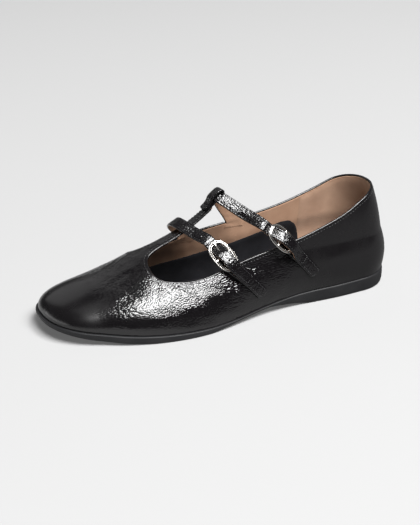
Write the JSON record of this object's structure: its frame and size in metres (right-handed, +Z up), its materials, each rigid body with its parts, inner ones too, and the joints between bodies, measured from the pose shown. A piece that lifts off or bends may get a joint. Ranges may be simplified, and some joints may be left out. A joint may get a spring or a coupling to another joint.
{
  "type": "mary jane shoe",
  "caption": "Left low-heeled mary jane shoe with a T-bar, buckled straps over the instep, a rounded toe and a thin rubber sole.",
  "frame": {"origin": "middle of the bounding box in plan, at the height of the ground under the sole", "axes": "+Y towards the heel, -Y towards the toe, +X towards the outer side of the left foot, +Z up"},
  "size_m": [0.0878, 0.2516, 0.0808],
  "materials": {
    "patent_leather": "black patent leather, glossy, finely crinkled",
    "sock_leather": "black matt leather",
    "lining_leather": "tan lining leather, matt",
    "sole_rubber": "black rubber, matt",
    "buckle_metal": "polished silver-coloured metal",
    "thread": "black sewing thread"
  },
  "bodies": {
    "root": {"outsole": "sole_rubber", "insole": "sock_leather", "upper": "patent_leather", "t_bar_loop": "patent_leather", "front_strap": "patent_leather", "rear_strap": "patent_leather", "front_tab": "patent_leather", "rear_tab": "patent_leather", "front_buckle": "buckle_metal", "rear_buckle": "buckle_metal", "front_prong": "buckle_metal", "rear_prong": "buckle_metal"}
  },
  "joints": []
}
